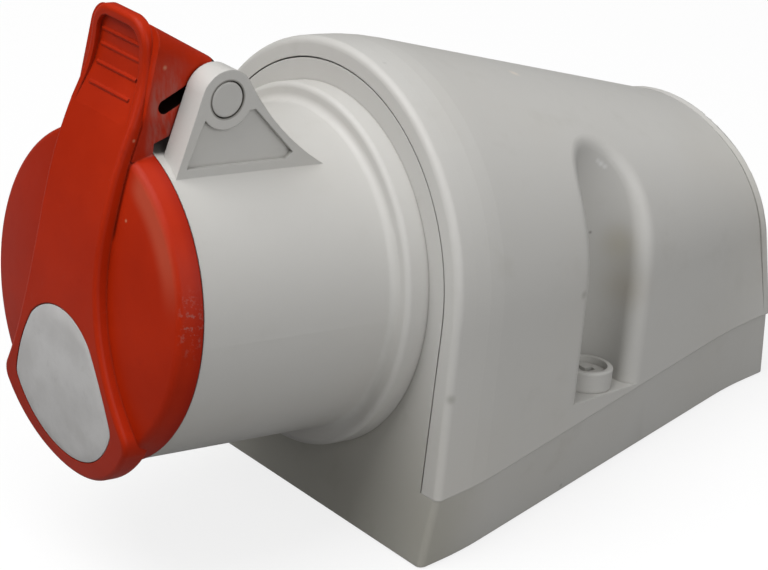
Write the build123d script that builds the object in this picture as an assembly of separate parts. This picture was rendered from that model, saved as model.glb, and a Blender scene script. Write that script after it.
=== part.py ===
from build123d import *
from math import acos, atan2, cos, hypot, radians, sin, sqrt, tan
import os

# Surface-mount industrial wall socket, lying on the flat back of its wall box.
# Millimetres. X runs across the socket, Y from the lid to the cable entry and
# Z away from the wall. The origin is the centre of the wall-screw pattern, on
# the wall. Most parts of the socket are built in the socket's own frame: its
# X is the same, its Y runs up the leaning front panel, and its Z runs along
# the plug's axis, out of the panel, from the centre of the flange ring.

# Wall box, at the wall and at the joint with the hood
tilt = 11.5
box_length = 131.5
box_height = 18.2
joint_front_width = 114.4
joint_rear_width = 77.4
foot_front_draft = 2.6
foot_rear_draft = 1.5
rear_straight = 13.5
box_floor = 3.0
box_front_corner = 2.0
box_rear_corner = 2.0
box_blend_reach = 6.3
box_edge = 0.8
hood_overhang = 0.25
lip_height = 3.0
lip_root = 4.0
lip_thickness = 1.5
lip_gap = 0.3

# Wall screws
wall_screw_x = 56.0
wall_screw_y = 86.0
wall_screw_from_front = 64.0
wall_hole_r = 2.75
wall_boss_r = 6.0
wall_boss_height = 2.5

# Front panel and hood
ring_centre_up_panel = 59.9
panel_thickness = 3.0
hood_side_lean = 1.4
panel_border = 5.4
panel_side_lean = 0.5
panel_rim_depth = 6.0
panel_rim_thickness = 2.0
panel_gap = 0.35
hood_wall = 2.4
hood_lip = 2.6
hood_band = 12.5
hood_band_blend = 7.0
hood_front_edge = 1.8
hood_rear_top = 68.7
hood_rear_crown_r = 43.8
hood_rear_shoulder_r = 26.8
hood_rear_blend = 9.0
hood_rear_edge = 0.8
rear_bead_height = 1.0
rear_bead_width = 2.2
hood_crown_angle = 34.0

# Hood screws, each at the foot of a driver channel in the hood's side
channel_r = 9.9
channel_x = 40.4
channel_depth = 58.5
channel_edge = 4.0
ledge_down = 25.6
screw_head_r = 7.0
screw_head_height = 5.4
screw_cup_r = 5.5
screw_cup_depth = 1.8
screw_shank_r = 2.9
screw_tip_r = 2.4
screw_tip_length = 7.0
screw_running_gap = 0.3
pillar_r = 5.6
insert_r = 3.9
insert_length = 8.0
insert_relief = 3.0

# Flange ring and plug collar
ring_r = 45.0
ring_height = 6.4
ring_edge = 1.4
collar_r = 40.3
collar_bore_r = 35.8
collar_length = 60.75
collar_root = 2.0
panel_hole_r = 37.6
spigot_r = 37.2
spigot_length = 8.0
ledge_r = 28.2
ledge_front = 6.0
ledge_back = -2.0
rear_bore_r = 34.5
key_width = 9.0
key_depth = 2.4
flange_screw_circle_r = 42.4
flange_screw_r = 1.1
flange_screw_head_r = 2.5
flange_screw_head_height = 1.8
flange_screw_grip = 4.5
gasket_groove_depth = 1.5
flange_gasket_in_r = 38.0
flange_gasket_out_r = 40.2

# Hinge ears and pin
ear_inner_x = 14.6
ear_outer_x = 21.6
pin_along = 47.4
pin_up = 51.9
ear_top_r = 7.0
ear_front_along = 59.6
ear_rear_along = 16.9
ear_foot_up = 33.4
ear_sink = 6.0
ear_rear_hollow_r = 70.0
pocket_depth = 1.3
pocket_rim = 2.6
pin_r = 2.0
pin_gap = 0.05
cap_r = 4.5
cap_gap = 0.25
cap_depth = 2.6
cap_edge = 0.5

# Lid: dome, skirt and cavity
lid_r = 40.6
lid_gap = 0.4
lid_shoulder_r = 38.9
lid_shoulder_along = 66.6
lid_crown_along = 70.8
lid_shoulder_edge = 2.2
lid_wall = 2.6
lid_cavity_r = 33.4
lid_gasket_in_r = 35.4
lid_gasket_out_r = 38.6
lid_gasket_depth = 2.1

# Lid: raised bar, thumb tab and lower lip. The bar's face is a curve drawn
# from the side through points given as (up the panel, along the axis).
bar_half_width = 13.1
bar_face = (
    (-50.0, 64.2), (-40.0, 67.5), (-30.0, 69.8), (-15.0, 72.2), (0.0, 73.3), (10.0, 73.2),
    (18.0, 72.6), (26.0, 71.6), (33.0, 70.3), (39.0, 68.7), (45.0, 66.8), (50.0, 65.2),
    (54.0, 64.3), (58.0, 64.0), (63.0, 64.2), (72.0, 64.8),
)
bar_edge = 1.2
bar_flare_from = 18.0
bar_flare_r = 80.0
lip_centre_down = 14.9
lip_r = 30.6
lip_corner = 5.0
lip_back = 2.4
tab_top_up = 68.2
tab_tip_half_width = 10.9
tab_corner = 7.0
tab_thickness = 2.8
tab_from_up = 44.0
dish_rim = 2.4
dish_top_up = 65.6
dish_floor = ((44.0, 0.0), (49.0, 0.5), (53.6, 1.0), (57.9, 1.3), (61.6, 1.4), (72.0, 1.5))
grip_half_length = 8.2
grip_r = 0.5
grip_sunk = 0.1
label_r = 26.3
label_centre_down = 15.0
label_half_width = 21.2
label_hip_down = 27.0
label_shoulder = (13.0, -8.6)
label_top_up = -2.7
label_bulge = 0.9
label_shoulder_edge = 8.0
label_hip_edge = 4.0
label_recess = 0.4

# Lid: hinge arm
arm_half_width = 14.1
arm_knuckle_r = 6.2
arm_top_front_up = 66.9
arm_top_front_along = 61.7
arm_root = 2.6
arm_top_rear_up = 58.8
arm_top_rear_along = 45.6
arm_top_edge = 4.5
arm_foot_up = 42.4
arm_slot_r = 1.7
arm_slot_depth = 6.4
arm_slot_tip_along = 59.2
arm_slot_tip_up = 48.9
arm_slot_lean = 28.0
arm_slot_length = 13.0
spring_pocket_half = 8.0
spring_pocket_r = 5.3

# Lid spring
spring_wire_r = 0.6
spring_coil_r = 3.4
spring_turns = 5.5
spring_pitch = 2.2

# Contact carrier, sleeves and screws
carrier_r = 27.9
carrier_face_along = 56.5
carrier_shoulder_r = 29.0
carrier_shoulder_thickness = 3.0
carrier_spigot_gap = 0.3
carrier_back_along = -24.0
carrier_back_r = 30.0
carrier_back_flange = 3.0
contact_circle_r = 16.5
phase_sleeve_r = 4.4
phase_bore_r = 3.05
earth_sleeve_r = 5.4
earth_bore_r = 4.05
sleeve_front_along = 50.0
sleeve_back_along = -20.5
sleeve_bore_end_along = 10.0
sleeve_shoulder = 1.1
sleeve_shoulder_thickness = 1.5
sleeve_gap = 0.1
sleeve_slit = 0.8
sleeve_slit_to_along = 24.0
pin_entry_gap = 0.35
wire_bore_r = 2.6
wire_bore_end_along = -7.0
terminal_screw_r = 2.1
terminal_screw_along = -14.5
terminal_screw_length = 6.5
terminal_access_gap = 0.25
carrier_screw_circle_r = 23.0
carrier_screw_r = 1.5
carrier_screw_head_r = 2.8
carrier_screw_head_height = 2.0
carrier_screw_grip = 9.0

# Cable grommet in the hood's rear wall
grommet_height = 38.5
grommet_hole_r = 12.6
grommet_neck_r = 12.3
grommet_flange_r = 15.6
grommet_flange_thickness = 2.2
grommet_flange_edge = 0.9
grommet_bore_r = 8.0
grommet_sleeve_r = 10.0
grommet_sleeve_length = 9.0

s, c = sin(radians(tilt)), cos(radians(tilt))
hood_front_r = joint_front_width / 2 - hood_side_lean
panel_r = hood_front_r - panel_border
panel_half_width = panel_r + panel_side_lean
front_y = -wall_screw_from_front
rear_y = front_y + box_length
ring_y = front_y + ring_centre_up_panel * s
ring_z = ring_centre_up_panel * c
taper_end_y = rear_y - rear_straight
socket = Plane(origin=(0, ring_y, ring_z), x_dir=(1, 0, 0), z_dir=(0, -c, s))
side = Plane(origin=(0, 0, 0), x_dir=(0, 0, 1), z_dir=(-1, 0, 0))


def up_panel(z, along=0.0):
    """Socket-frame height of world height z, at a distance along the axis."""
    return (z - ring_z - along * s) / c


def mirrored(shape):
    """The shape and its mirror image on the other side of the socket."""
    return shape + mirror(shape, Plane.YZ)


def ring(out_r, in_r, start, length):
    """A plain ring about the local Z axis."""
    tube = Cylinder(out_r, length, align=(Align.CENTER, Align.CENTER, Align.MIN))
    if in_r > 0:
        tube -= Cylinder(in_r, length, align=(Align.CENTER, Align.CENTER, Align.MIN))
    return Pos(0, 0, start) * tube


def turned(points):
    """A solid turned about the local Z axis from (radius, along) points."""
    return revolve(Plane.XZ * make_face(Polyline(*points, close=True)), Axis.Z)


def outline_face(*edges):
    """A face inside a closed run of edges."""
    outline = edges[0]
    for edge in edges[1:]:
        outline += edge
    return make_face(outline)


def arch_face(crown_r, shoulder_r, top_v, foot_half, foot_v):
    """An arch of three arcs on straight legs that are tangent to it."""
    step = crown_r - shoulder_r
    lean = radians(hood_crown_angle)
    cx = step * sin(lean)
    cv = top_v - crown_r + step * cos(lean)
    drop = cv - foot_v
    reach = foot_half - cx
    leg = acos(shoulder_r / hypot(reach, drop)) - atan2(drop, reach)
    foot = (foot_half, foot_v)
    knee = (cx + shoulder_r * cos(leg), cv + shoulder_r * sin(leg))
    bend = (leg + radians(90) - lean) / 2
    elbow = (cx + shoulder_r * cos(bend), cv + shoulder_r * sin(bend))
    brow = (cx + shoulder_r * sin(lean), cv + shoulder_r * cos(lean))
    right = (foot, knee, elbow, brow)
    foot_l, knee_l, elbow_l, brow_l = [(-x, v) for x, v in right]
    return outline_face(
        Line(foot, knee),
        ThreePointArc(knee, elbow, brow),
        ThreePointArc(brow, (0, top_v), brow_l),
        ThreePointArc(brow_l, elbow_l, knee_l),
        Line(knee_l, foot_l),
        Line(foot_l, foot),
    )


def panel_arch(radius, half_width, foot_v):
    """A round arch about the ring's centre, in the socket's frame."""
    return arch_face(radius, radius, radius, half_width, foot_v)


def box_outline(z, inset, front_inset):
    """The wall box's plan outline at a height, moved inwards by two insets."""
    share = min(z / box_height, 1)
    front_half = joint_front_width / 2 - foot_front_draft * (1 - share)
    rear_half = joint_rear_width / 2 - foot_rear_draft * (1 - share)
    front = front_y + z * tan(radians(tilt)) + front_inset
    corner = front_y + (hood_band + z * s) / c
    rear = rear_y - inset
    turn = atan2(front_half - rear_half, taper_end_y - corner)
    side_blend = box_blend_reach / tan(turn / 2)
    right = [
        (front_half - inset, front),
        (front_half - inset, corner),
        (rear_half - inset, taper_end_y),
        (rear_half - inset, rear),
    ]
    left = [(-x, y) for x, y in reversed(right)]
    face = make_face(Polyline(*right, *left, close=True))
    for y, radius in (
        (corner, side_blend),
        (taper_end_y, side_blend),
        (front, max(box_front_corner - inset, 0.6)),
        (rear, max(box_rear_corner - inset, 1.0)),
    ):
        face = fillet([v for v in face.vertices() if abs(v.Y - y) < 0.01], radius)
    return Plane.XY.offset(z) * face


def box_block(low, high, inset, front_inset):
    """The wall box's outer form between two heights, at its insets."""
    ends = [box_outline(low, inset, front_inset), box_outline(high, inset, front_inset)]
    return loft(ends, ruled=True)


def eased(at, kink, reach):
    """How far past a kink a softened path has turned, at a place on it."""
    if at <= kink - reach:
        return 0.0
    if at >= kink + reach:
        return at - kink
    return (at - kink + reach) ** 2 / (4 * reach)


def hood_block(inset, start_along, end_y, foot_z):
    """The hood's form: a leaning front arch that runs down to the rear arch."""
    band_y = front_y + (hood_front_r + ring_centre_up_panel) * s + hood_band * c
    band_top = (hood_front_r + ring_centre_up_panel) * c - hood_band * s
    fall = (band_top - hood_rear_top) / (rear_y - band_y)
    shrink = (fall * c - s) / (c + fall * s)
    faces = []
    for along in (start_along, -hood_band + hood_band_blend):
        foot_half = joint_front_width / 2 - inset
        arch = panel_arch(hood_front_r - inset, foot_half, up_panel(foot_z, along))
        faces.append(socket * Pos(0, 0, along) * arch)
    kink_y = front_y + (hood_band + box_height * s) / c
    narrowing = (joint_front_width - joint_rear_width) / 2 / (taper_end_y - kink_y)
    steps = (-1 / 3, 1 / 3, 1)
    stations = [-hood_band - hood_band_blend * step for step in steps]
    for along in stations:
        past = eased(-along, hood_band, hood_band_blend)
        foot_half = joint_front_width / 2 - narrowing * past - inset
        radius = hood_front_r - shrink * past - inset
        arch = panel_arch(radius, foot_half, up_panel(foot_z, along))
        faces.append(socket * Pos(0, 0, along) * arch)
    for step in (-1, -1 / 3, 1 / 3, 1):
        y = taper_end_y + step * hood_rear_blend
        left_over = eased(-y, -taper_end_y, hood_rear_blend)
        foot_half = joint_rear_width / 2 + narrowing * left_over - inset
        share = (rear_y - y) / (rear_y - kink_y)
        crown_r = hood_rear_crown_r + (hood_front_r - hood_rear_crown_r) * share - inset
        shoulder_r = hood_rear_shoulder_r + (hood_front_r - hood_rear_shoulder_r) * share - inset
        top = hood_rear_top + fall * (rear_y - y) - inset
        arch = arch_face(crown_r, shoulder_r, top, foot_half, foot_z)
        faces.append(Plane(origin=(0, y, 0), x_dir=(1, 0, 0), z_dir=(0, -1, 0)) * arch)
    arch = arch_face(
        hood_rear_crown_r - inset, hood_rear_shoulder_r - inset, hood_rear_top - inset,
        joint_rear_width / 2 - inset, foot_z,
    )
    faces.append(Plane(origin=(0, end_y, 0), x_dir=(1, 0, 0), z_dir=(0, -1, 0)) * arch)
    return loft(faces, ruled=True)


def rear_bead():
    """Low raised edge round the hood's rear, fading out towards the joint."""
    arch = arch_face(
        hood_rear_crown_r + rear_bead_height, hood_rear_shoulder_r + rear_bead_height,
        hood_rear_top + rear_bead_height, joint_rear_width / 2, box_height,
    )
    return extrude(Plane(origin=(0, rear_y, 0), x_dir=(1, 0, 0), z_dir=(0, -1, 0)) * arch, rear_bead_width)


def channel(grow, foot_up):
    """The driver channel beside a hood screw, open to the side and above."""
    across = Plane(origin=(0, foot_up, 0), x_dir=(1, 0, 0), z_dir=(0, 1, 0))
    r = channel_r + grow
    section = Pos(channel_x, channel_depth) * Circle(r)
    section += Pos(channel_x + 20, channel_depth) * Rectangle(40, 2 * r)
    return socket * extrude(across * section, 100)


def on_channel(shape, up):
    """A shape set on the right channel's axis, its Z running up the panel."""
    across = Plane(origin=(channel_x, up, -channel_depth), x_dir=(1, 0, 0), z_dir=(0, 1, 0))
    return socket * across * shape


def rear_frame():
    """A frame on the rear wall's outer face, its Z pointing out of the rear."""
    return Plane(origin=(0, rear_y, grommet_height), x_dir=(1, 0, 0), z_dir=(0, 1, 0))


def wall_screw_spots():
    """The four wall-screw places, as locations on the wall."""
    return GridLocations(wall_screw_x, wall_screw_y, 2, 2)


def make_back_box():
    """Tray against the wall, with the leaning front panel in one piece."""
    wall_inset = hood_wall + lip_gap + lip_thickness
    lip_inset = hood_wall + lip_gap
    tray = box_block(0, box_height, hood_overhang, 0)
    tray += box_block(box_height - lip_root, box_height + lip_height, lip_inset, lip_inset)
    foot = up_panel(box_edge)
    panel_face = panel_arch(panel_r, panel_half_width, foot)
    front_panel = extrude(panel_face, -panel_thickness)
    rim = extrude(panel_face, -(panel_thickness + panel_rim_depth))
    rim -= extrude(
        panel_arch(panel_r - panel_rim_thickness, panel_half_width - panel_rim_thickness, foot - 1),
        -(panel_thickness + panel_rim_depth),
    )
    above_joint = Pos(0, 0, box_height + ring_z) * Box(2 * box_length, 2 * box_length, 2 * ring_z)
    cavity = box_block(box_floor, box_height + lip_height + 1, wall_inset, wall_inset)
    tray -= cavity
    opening_half = panel_half_width - panel_side_lean
    opening = panel_arch(panel_r - panel_rim_thickness, opening_half, up_panel(box_height))
    opening = extrude(opening, -box_length / 4)
    tray -= (socket * opening) & above_joint
    tray += (socket * front_panel) + ((socket * rim) & above_joint)
    tray -= mirrored(channel(hood_wall + lip_gap, -ledge_down - hood_wall - lip_gap)) & above_joint
    pillar = on_channel(ring(pillar_r, 0, -2 * ring_z, 2 * ring_z), -ledge_down - hood_wall)
    above_floor = Pos(0, 0, box_floor / 2 + ring_z) * Box(2 * box_length, 2 * box_length, 2 * ring_z)
    tray += mirrored(pillar & above_floor)
    bore = ring(insert_r, 0, -insert_length, insert_length)
    bore += ring(screw_tip_r + screw_running_gap, 0, -insert_length - insert_relief, insert_relief)
    tray -= mirrored(on_channel(bore, -ledge_down - hood_wall))
    for spot in wall_screw_spots():
        tray += spot * ring(wall_boss_r, 0, box_floor / 2, box_floor / 2 + wall_boss_height)
        tray -= spot * Cylinder(wall_hole_r, 4 * wall_boss_height + 4 * box_floor)
    tray -= socket * Cylinder(panel_hole_r, 3 * panel_thickness)
    for spot in PolarLocations(flange_screw_circle_r, 4, start_angle=45):
        tray -= socket * spot * Cylinder(flange_screw_r + 0.3, 3 * panel_thickness)
    return tray


def channel_mouth_edges(hood):
    """The rear and top edges of both channels, in the hood's outer face."""
    edges = []
    for edge in hood.edges().filter_by(GeomType.BSPLINE):
        ends = [socket.to_local_coords(edge @ at) for at in (0, 0.5, 1)]
        on_wall = True
        for place in ends:
            reach = hypot(abs(place.X) - channel_x, place.Z + channel_depth)
            flat = abs(abs(place.Z + channel_depth) - channel_r)
            if min(abs(reach - channel_r), flat) > 0.02:
                on_wall = False
        if on_wall and ends[1].Z < -channel_depth + 1.5:
            edges.append(edge)
    return edges


def make_hood():
    """Arch-shaped cover with a screw channel in each side."""
    outer = hood_block(0, 0, rear_y, box_height)
    front = [e for e in outer.edges() if abs(socket.to_local_coords(e.center()).Z) < 0.01]
    front = [e for e in front if e.center().Z > box_height + 1]
    outer = fillet(front, hood_front_edge)
    outer += rear_bead()
    rear = [e for e in outer.edges() if e.center().Y > rear_y - 0.01 and e.center().Z > box_height + 1]
    outer = fillet(rear, hood_rear_edge)
    outer -= mirrored(channel(0, -ledge_down))
    outer = fillet(channel_mouth_edges(outer), channel_edge)
    void = hood_block(hood_wall, -hood_lip, rear_y - hood_wall, box_height - 0.5)
    void -= mirrored(channel(hood_wall, -ledge_down - hood_wall))
    hood = outer - void
    slot = panel_arch(panel_r + panel_gap, panel_half_width + panel_gap, up_panel(0))
    hood -= socket * Pos(0, 0, -hood_lip - 0.5) * extrude(slot, hood_lip + 3)
    shank = Cylinder(screw_shank_r + screw_running_gap, 20)
    hood -= mirrored(on_channel(shank, -ledge_down))
    hood -= rear_frame() * Cylinder(grommet_hole_r, 4 * hood_wall)
    return hood


def ear_profile():
    """Side outline of a hinge ear, in (along, up) coordinates."""
    reach = hypot(ear_front_along - pin_along, pin_up - ear_foot_up)
    lean = acos(ear_top_r / reach) + atan2(ear_foot_up - pin_up, ear_front_along - pin_along)
    front_top = (pin_along + ear_top_r * cos(lean), pin_up + ear_top_r * sin(lean))
    rear_top = (pin_along - ear_top_r * cos(radians(28)), pin_up + ear_top_r * sin(radians(28)))
    front_foot = (ear_front_along, ear_foot_up)
    rear_foot = (ear_rear_along, ear_foot_up)
    sunk = ear_foot_up - ear_sink
    return outline_face(
        Line(front_foot, front_top),
        ThreePointArc(front_top, (pin_along, pin_up + ear_top_r), rear_top),
        RadiusArc(rear_top, rear_foot, ear_rear_hollow_r),
        Line(rear_foot, (ear_rear_along, sunk)),
        Line((ear_rear_along, sunk), (ear_front_along, sunk)),
        Line((ear_front_along, sunk), front_foot),
    )


def pocket_profile():
    """Three-cornered pocket in the ear, clear of the pin's boss."""
    corners = [
        (ear_front_along - 2.9, ear_foot_up + 2.8),
        (ear_rear_along + 12.0, ear_foot_up + 2.8),
        (ear_rear_along + 10.4, ear_foot_up + 4.4),
        (pin_along - 8.2, pin_up - 2.8),
        (pin_along + 5.6, pin_up - 4.6),
    ]
    face = make_face(Polyline(*corners, close=True))
    return face - Pos(pin_along, pin_up) * Circle(cap_r + pocket_rim)


def make_collar():
    """Flange ring, plug collar and hinge ears in one moulding."""
    outer = turned([
        (0, 0), (ring_r, 0), (ring_r, ring_height), (collar_r, ring_height),
        (collar_r, collar_length), (0, collar_length),
    ])
    root = [e for e in outer.edges() if abs(e.center().Z - ring_height) < 0.01]
    outer = fillet([e for e in root if abs(e.radius - collar_r) < 0.01], collar_root)
    edge = [e for e in outer.edges().filter_by(GeomType.CIRCLE) if abs(e.radius - ring_r) < 0.01]
    edge = [e for e in edge if e.center().Z > ring_height - 0.01]
    outer = fillet(edge, ring_edge)
    outer += ring(spigot_r, 0, -spigot_length, spigot_length)
    ear_side = Plane(origin=(ear_outer_x, 0, 0), x_dir=(0, 0, 1), z_dir=(-1, 0, 0))
    ear = extrude(ear_side * ear_profile(), ear_outer_x - ear_inner_x)
    ear -= extrude(ear_side * pocket_profile(), pocket_depth)
    outer += mirrored(ear)
    outer -= ring(collar_bore_r, 0, ledge_front, collar_length)
    outer -= ring(ledge_r, 0, -2 * spigot_length, 60)
    outer -= ring(rear_bore_r, 0, -2 * spigot_length, 2 * spigot_length + ledge_back)
    keyway = Box(key_width, 2 * key_depth, collar_length)
    outer -= Pos(0, -collar_bore_r, ledge_front + collar_length / 2) * keyway
    outer -= ring(flange_gasket_out_r, flange_gasket_in_r, -0.01, gasket_groove_depth + 0.01)
    for spot in PolarLocations(flange_screw_circle_r, 4, start_angle=45):
        outer -= spot * ring(flange_screw_r, 0, -0.01, flange_screw_grip + 0.01)
    outer -= hinge_bore(pin_r + pin_gap, 2 * ear_outer_x + 2)
    cap_seat = Plane(origin=(ear_outer_x, pin_up, pin_along), x_dir=(0, 0, 1), z_dir=(-1, 0, 0))
    outer -= mirrored(cap_seat * extrude(Circle(cap_r), cap_depth))
    return socket * outer


def hinge_bore(radius, length):
    """A cylinder on the hinge's axis, in the socket's frame."""
    return Pos(0, pin_up, pin_along) * Rot(0, 90, 0) * Cylinder(radius, length)


def make_hinge_pin():
    """Steel pin through both ears and the lid's arm."""
    return socket * hinge_bore(pin_r, 2 * (ear_outer_x - cap_depth))


def make_pin_cap(hand):
    """Round plug that closes the pin's hole in an ear; hand is 1 or -1."""
    seat = Plane(origin=(ear_outer_x, pin_up, pin_along), x_dir=(0, 0, 1), z_dir=(-1, 0, 0))
    cap = seat * extrude(Circle(cap_r - cap_gap), cap_depth)
    cap = fillet(cap.edges().sort_by(Axis.X)[-1], cap_edge)
    if hand < 0:
        cap = mirror(cap, Plane.YZ)
    return socket * cap


def behind(points, up_to=-200.0):
    """Everything behind a face drawn from the side through given points."""
    line = Spline(*[(along, up) for up, along in points])
    (low_up, low_along), (top_up, top_along) = points[0], points[-1]
    region = outline_face(
        line,
        Line((top_along, top_up), (up_to, top_up)),
        Line((up_to, top_up), (up_to, low_up)),
        Line((up_to, low_up), (low_along, low_up)),
    )
    return Pos(60, 0, 0) * extrude(side * region, 120)


def bar_face_along(up):
    """Distance along the axis of the bar's face, on the drawn points."""
    for (up_a, along_a), (up_b, along_b) in zip(bar_face, bar_face[1:]):
        if up_a <= up <= up_b:
            return along_a + (along_b - along_a) * (up - up_a) / (up_b - up_a)
    return bar_face[-1][1]


def tab_outline(inset, top):
    """Thumb tab seen from the front, at an inset from the bar's sides."""
    half = bar_half_width - inset
    tip = tab_tip_half_width - inset
    outline = make_face(Polyline(
        (half, bar_flare_from), (half, tab_from_up), (tip, top),
        (-tip, top), (-half, tab_from_up), (-half, bar_flare_from), close=True,
    ))
    return fillet([v for v in outline.vertices() if v.Y > top - 0.01], tab_corner - inset)


def bar_outline():
    """Front outline of the raised bar, from thumb tab to lower lip."""
    flare_x = bar_half_width + bar_flare_r
    neck = Pos(0, bar_flare_from - lip_centre_down) * Rectangle(3 * bar_half_width, 2 * lip_centre_down)
    lower = (Pos(0, -lip_centre_down) * Circle(lip_r)) + neck
    lower &= Pos(0, bar_flare_from - 50) * Rectangle(100, 100)
    lower -= Pos(flare_x, bar_flare_from) * Circle(bar_flare_r)
    lower -= Pos(-flare_x, bar_flare_from) * Circle(bar_flare_r)
    lower = fillet([v for v in lower.vertices() if abs(v.X) > bar_half_width + 5], lip_corner)
    return lower + tab_outline(0, tab_top_up)


def label_face():
    """Egg-shaped field for the marking plate in the lower bar."""
    shoulder = label_shoulder
    hip = (label_half_width, -label_hip_down)
    bulge = ((shoulder[0] + hip[0]) / 2 + label_bulge, (shoulder[1] + hip[1]) / 2)
    bottom = (0, -label_centre_down - label_r)
    shoulder_l, hip_l, bulge_l = [(-x, up) for x, up in (shoulder, hip, bulge)]
    face = outline_face(
        ThreePointArc(shoulder_l, (0, label_top_up), shoulder),
        ThreePointArc(shoulder, bulge, hip),
        ThreePointArc(hip, bottom, hip_l),
        ThreePointArc(hip_l, bulge_l, shoulder_l),
    )
    corners = face.vertices().sort_by(Axis.Y)
    face = fillet(corners[:2], label_hip_edge)
    corners = [v for v in face.vertices() if abs(v.Y - label_shoulder[1]) < 0.5]
    return fillet(corners, label_shoulder_edge)


def make_lid_body():
    """Domed cap with its skirt, hollow behind, and a gasket groove."""
    back = collar_length + lid_gap
    bulge = lid_crown_along - lid_shoulder_along
    crown_r = (lid_shoulder_r ** 2 + bulge ** 2) / (2 * bulge)
    half_arc = (
        lid_shoulder_r / 2,
        lid_crown_along - crown_r + sqrt(crown_r ** 2 - (lid_shoulder_r / 2) ** 2),
    )
    half_section = outline_face(
        Line((0, back), (lid_r, back)),
        Line((lid_r, back), (lid_shoulder_r, lid_shoulder_along)),
        ThreePointArc((lid_shoulder_r, lid_shoulder_along), half_arc, (0, lid_crown_along)),
        Line((0, lid_crown_along), (0, back)),
    )
    body = revolve(Plane.XZ * half_section, Axis.Z)
    rim = [e for e in body.edges() if abs(e.center().Z - lid_shoulder_along) < 0.01]
    return fillet([e for e in rim if e.length > lid_shoulder_r], lid_shoulder_edge)


def make_arm():
    """Hinge arm behind the bar: a rounded cover, two side walls, a knuckle."""
    back = collar_length + lid_gap
    cover = make_face(Polyline(
        (lid_shoulder_along, arm_foot_up - 6),
        (bar_face_along(tab_from_up) - arm_root, tab_from_up),
        (arm_top_front_along, arm_top_front_up),
        (arm_top_rear_along, arm_top_rear_up),
        (pin_along - arm_knuckle_r, pin_up),
        (pin_along, pin_up - arm_knuckle_r),
        (back, arm_foot_up - 2.0),
        (back, arm_foot_up - 6),
        close=True,
    ))
    cover += Pos(pin_along, pin_up) * Circle(arm_knuckle_r)
    arm = extrude(side * cover, arm_half_width, both=True)
    halfway = (arm_top_front_along + arm_top_rear_along) / 2
    top = [e for e in arm.edges() if abs(abs(e.center().X) - arm_half_width) < 0.01]
    top = [e for e in top if abs(e.center().Z - halfway) < 0.5 and e.center().Y > pin_up]
    arm = fillet(top, arm_top_edge)
    slot = Pos(arm_slot_tip_along, arm_slot_tip_up) * Rot(0, 0, 180 - arm_slot_lean) * (
        Circle(arm_slot_r) + Pos(arm_slot_length / 2, 0) * Rectangle(arm_slot_length, 2 * arm_slot_r))
    slot_side = Plane(origin=(arm_half_width, 0, 0), x_dir=(0, 0, 1), z_dir=(-1, 0, 0))
    arm -= mirrored(extrude(slot_side * slot, arm_slot_depth))
    pocket = Pos(pin_along, pin_up) * Circle(spring_pocket_r)
    pocket += Pos(pin_along - 4, pin_up - 10) * Rectangle(2 * spring_pocket_r + 8, 20)
    arm -= extrude(side * pocket, spring_pocket_half, both=True)
    arm -= hinge_bore(pin_r + pin_gap, 4 * arm_half_width)
    return arm


def make_bar():
    """Raised bar with a curved face, from the thumb tab to the lower lip."""
    back = collar_length + lid_gap
    bar = extrude(Pos(0, 0, back - 20) * bar_outline(), 60)
    bar &= behind(bar_face)
    bar -= Pos(0, tab_from_up - 100, back + lip_back - 50) * Box(200, 200, 100)
    under = Pos(0, 0, -tab_thickness) * behind(bar_face)
    bar -= (Pos(0, tab_from_up + 50, 0) * Box(200, 100, 400)) & under
    front = [e for f in bar.faces() if f.normal_at().Z > 0.7 for e in f.edges()]
    rim = [e for e in front if sum(1 for other in front if other.is_same(e)) == 1]
    bar = fillet(rim, bar_edge)
    dish = extrude(tab_outline(dish_rim, dish_top_up), 2 * collar_length)
    dish &= Pos(0, dish_floor[0][0] + 50, 0) * Box(100, 100, 400)
    floor_points = [(up, bar_face_along(up) - drop) for up, drop in dish_floor]
    floor = behind(floor_points)
    rib = Rot(0, 90, 0) * Cylinder(grip_r, 2 * grip_half_length)
    for up, along in floor_points[1:-1]:
        floor += Pos(0, up, along - grip_sunk) * rib
    return bar - (dish - floor)


def make_lid():
    """Red hinged cap: dome, raised bar, thumb tab, lower lip and arm."""
    back = collar_length + lid_gap
    body = make_lid_body() + make_bar() + make_arm()
    cavity_top = lid_crown_along - lid_wall - 1.2
    body -= ring(lid_cavity_r, 0, back - 1, cavity_top - back + 1)
    body -= ring(lid_gasket_out_r, lid_gasket_in_r, back - 1, lid_gasket_depth + 1)
    label = extrude(Pos(0, 0, back + 2) * label_face(), lid_crown_along)
    body -= label - Pos(0, 0, -label_recess) * behind(bar_face)
    return socket * body


def make_lid_gasket():
    """Rubber ring in the lid's groove, resting on the collar's mouth."""
    seat = collar_length + lid_gap + lid_gasket_depth
    return socket * ring(lid_gasket_out_r, lid_gasket_in_r, collar_length, seat - collar_length)


def make_lid_spring():
    """Torsion spring about the hinge pin that swings the lid shut."""
    coil = Helix(spring_pitch, spring_turns * spring_pitch, spring_coil_r)
    start = coil @ 0
    section = Plane(origin=start, z_dir=coil % 0) * Circle(spring_wire_r)
    wire = sweep(section, coil, is_frenet=True)
    wire = Pos(0, 0, -spring_turns * spring_pitch / 2) * wire
    return socket * Pos(0, pin_up, pin_along) * Rot(0, 90, 0) * wire


def make_flange_gasket():
    """Flat seal between the flange ring and the front panel."""
    return socket * ring(flange_gasket_out_r, flange_gasket_in_r, 0, gasket_groove_depth)


def make_flange_screws():
    """Four screws that hold the flange ring from behind the panel."""
    top = -panel_thickness - flange_screw_head_height
    screw = ring(flange_screw_head_r, 0, top, flange_screw_head_height)
    screw += ring(flange_screw_r, 0, -panel_thickness, panel_thickness + flange_screw_grip - 0.5)
    screw -= Pos(0, 0, top) * Box(0.7, 2 * flange_screw_head_r, 1.4)
    spots = PolarLocations(flange_screw_circle_r, 4, start_angle=45)
    return socket * Compound([spot * screw for spot in spots])


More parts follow.
